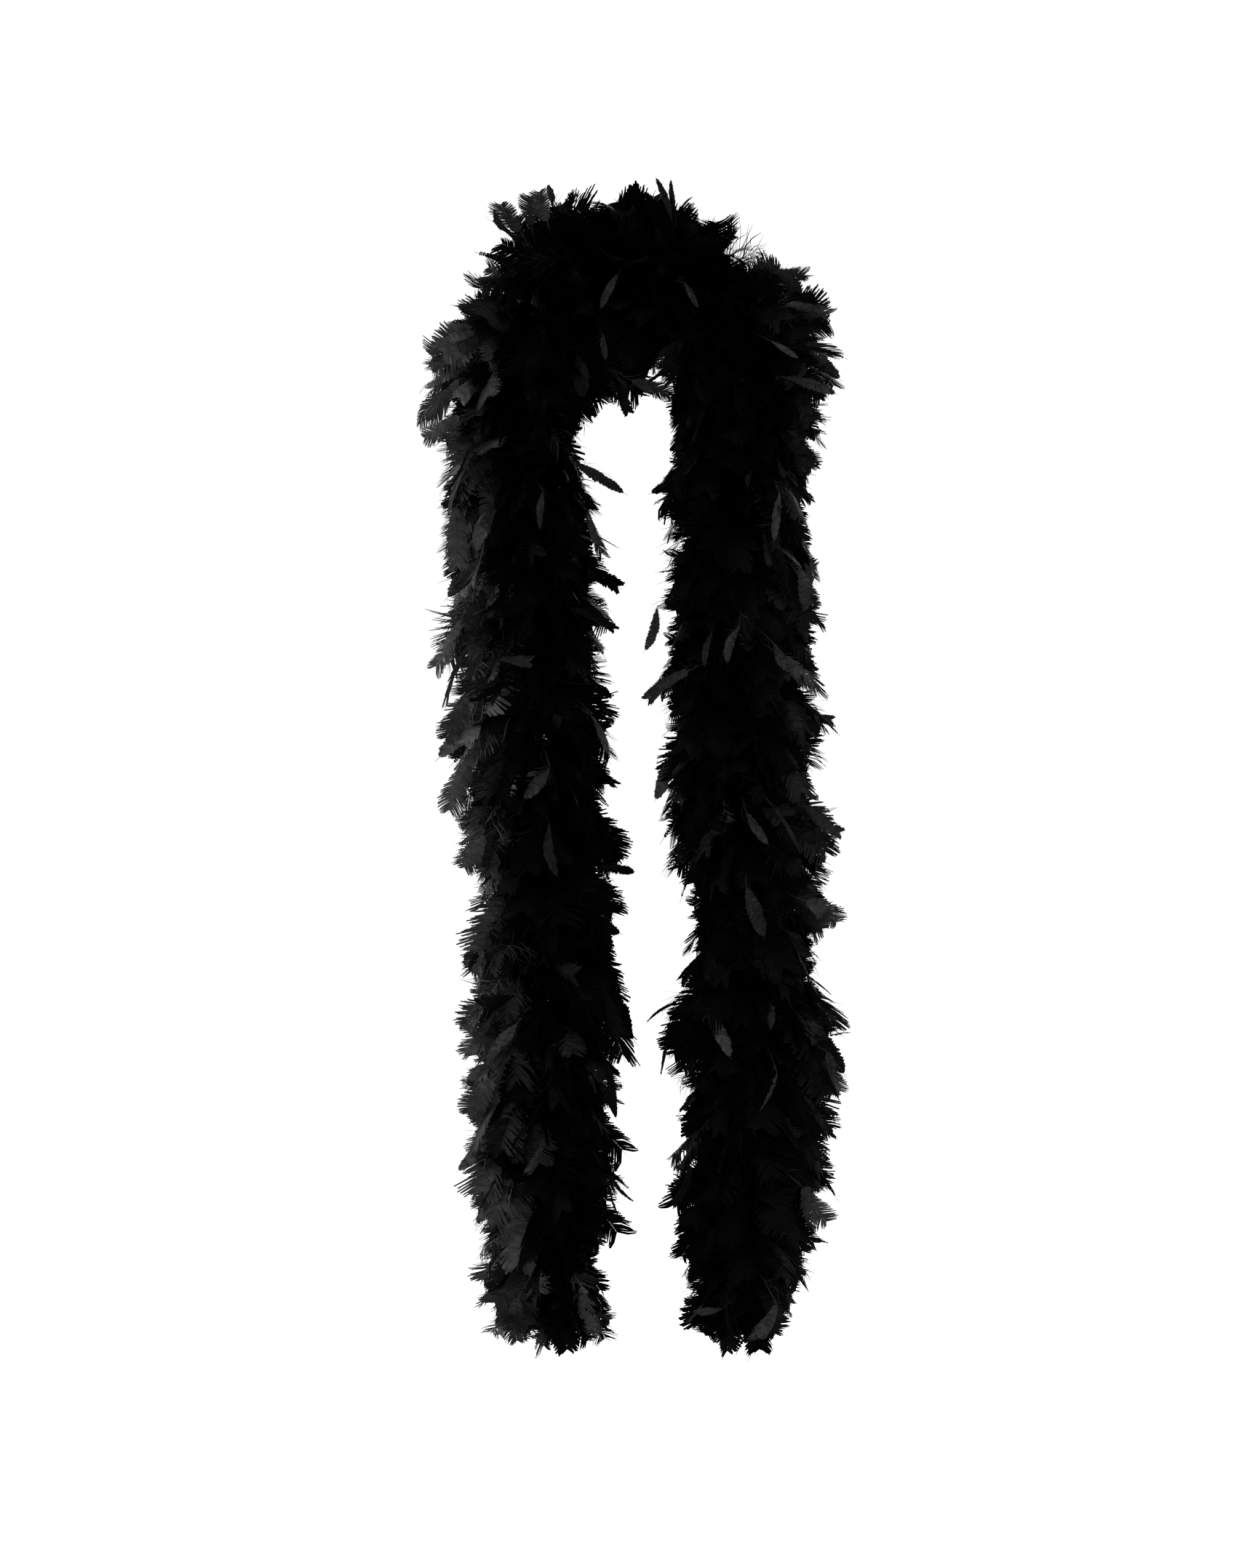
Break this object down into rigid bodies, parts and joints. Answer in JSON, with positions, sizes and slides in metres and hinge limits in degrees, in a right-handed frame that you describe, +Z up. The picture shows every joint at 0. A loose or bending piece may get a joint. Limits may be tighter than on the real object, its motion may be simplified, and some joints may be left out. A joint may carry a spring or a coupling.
{
  "type": "feather boa",
  "caption": "Long full feather boa hung over the neck as an arch with two hanging ends: feathers in bunches, tied by their quills round a twisted core cord.",
  "frame": {"origin": "the underside of the core cord at the crest of the arch, where the boa lies on the neck or peg that holds it up", "axes": "+Z up along the hanging ends, +X across the arch towards the viewer's right, -Y towards the viewer"},
  "size_m": [0.3281, 0.1413, 0.9322],
  "materials": {
    "feathers": "satin",
    "core_cord": "matte",
    "binding_thread": "satin"
  },
  "bodies": {
    "neck": {"core_cord_neck": "core_cord", "binding_thread_neck": "binding_thread", "feather_bunch_neck_1": "feathers", "feather_bunch_neck_2": "feathers", "feather_bunch_neck_3": "feathers", "feather_bunch_neck_4": "feathers", "feather_bunch_neck_5": "feathers", "feather_bunch_neck_6": "feathers", "feather_bunch_neck_7": "feathers"},
    "left_1": {"core_cord_left_1": "core_cord", "binding_thread_left_1": "binding_thread", "feather_bunch_left_01": "feathers", "feather_bunch_left_02": "feathers", "feather_bunch_left_03": "feathers"},
    "left_2": {"core_cord_left_2": "core_cord", "binding_thread_left_2": "binding_thread", "feather_bunch_left_04": "feathers", "feather_bunch_left_05": "feathers", "feather_bunch_left_06": "feathers"},
    "left_3": {"core_cord_left_3": "core_cord", "binding_thread_left_3": "binding_thread", "feather_bunch_left_07": "feathers", "feather_bunch_left_08": "feathers", "feather_bunch_left_09": "feathers"},
    "left_4": {"core_cord_left_4": "core_cord", "binding_thread_left_4": "binding_thread", "feather_bunch_left_10": "feathers", "feather_bunch_left_11": "feathers", "feather_bunch_left_12": "feathers", "feather_bunch_left_13": "feathers", "end_whipping_left": "binding_thread", "end_knot_left": "core_cord"},
    "right_1": {"core_cord_right_1": "core_cord", "binding_thread_right_1": "binding_thread", "feather_bunch_right_01": "feathers", "feather_bunch_right_02": "feathers", "feather_bunch_right_03": "feathers"},
    "right_2": {"core_cord_right_2": "core_cord", "binding_thread_right_2": "binding_thread", "feather_bunch_right_04": "feathers", "feather_bunch_right_05": "feathers", "feather_bunch_right_06": "feathers"},
    "right_3": {"core_cord_right_3": "core_cord", "binding_thread_right_3": "binding_thread", "feather_bunch_right_07": "feathers", "feather_bunch_right_08": "feathers", "feather_bunch_right_09": "feathers"},
    "right_4": {"core_cord_right_4": "core_cord", "binding_thread_right_4": "binding_thread", "feather_bunch_right_10": "feathers", "feather_bunch_right_11": "feathers", "feather_bunch_right_12": "feathers", "feather_bunch_right_13": "feathers", "end_whipping_right": "binding_thread", "end_knot_right": "core_cord"}
  },
  "joints": [
    {"name": "left_shoulder_sideways", "type": "hinge", "parent": "neck", "child": "left_1", "pos_m": [-0.09756, 0, -0.128], "axis": [0, 1, 0], "range_deg": [0, 55]},
    {"name": "left_upper_fore_aft", "type": "hinge", "parent": "left_1", "child": "left_2", "pos_m": [-0.08358, 0, -0.306], "axis": [1, 0, 0], "range_deg": [-45, 45]},
    {"name": "left_middle_sideways", "type": "hinge", "parent": "left_2", "child": "left_3", "pos_m": [-0.07824, 0, -0.484], "axis": [0, 1, 0], "range_deg": [0, 45]},
    {"name": "left_end_fore_aft", "type": "hinge", "parent": "left_3", "child": "left_4", "pos_m": [-0.07415, 0, -0.662], "axis": [1, 0, 0], "range_deg": [-45, 45]},
    {"name": "right_shoulder_sideways", "type": "hinge", "parent": "neck", "child": "right_1", "pos_m": [0.098, 0, -0.132], "axis": [0, -1, 0], "range_deg": [0, 55]},
    {"name": "right_upper_fore_aft", "type": "hinge", "parent": "right_1", "child": "right_2", "pos_m": [0.08513, 0, -0.309], "axis": [1, 0, 0], "range_deg": [-45, 45]},
    {"name": "right_middle_sideways", "type": "hinge", "parent": "right_2", "child": "right_3", "pos_m": [0.09613, 0, -0.486], "axis": [0, -1, 0], "range_deg": [0, 45]},
    {"name": "right_end_fore_aft", "type": "hinge", "parent": "right_3", "child": "right_4", "pos_m": [0.10016, 0, -0.663], "axis": [1, 0, 0], "range_deg": [-45, 45]}
  ]
}
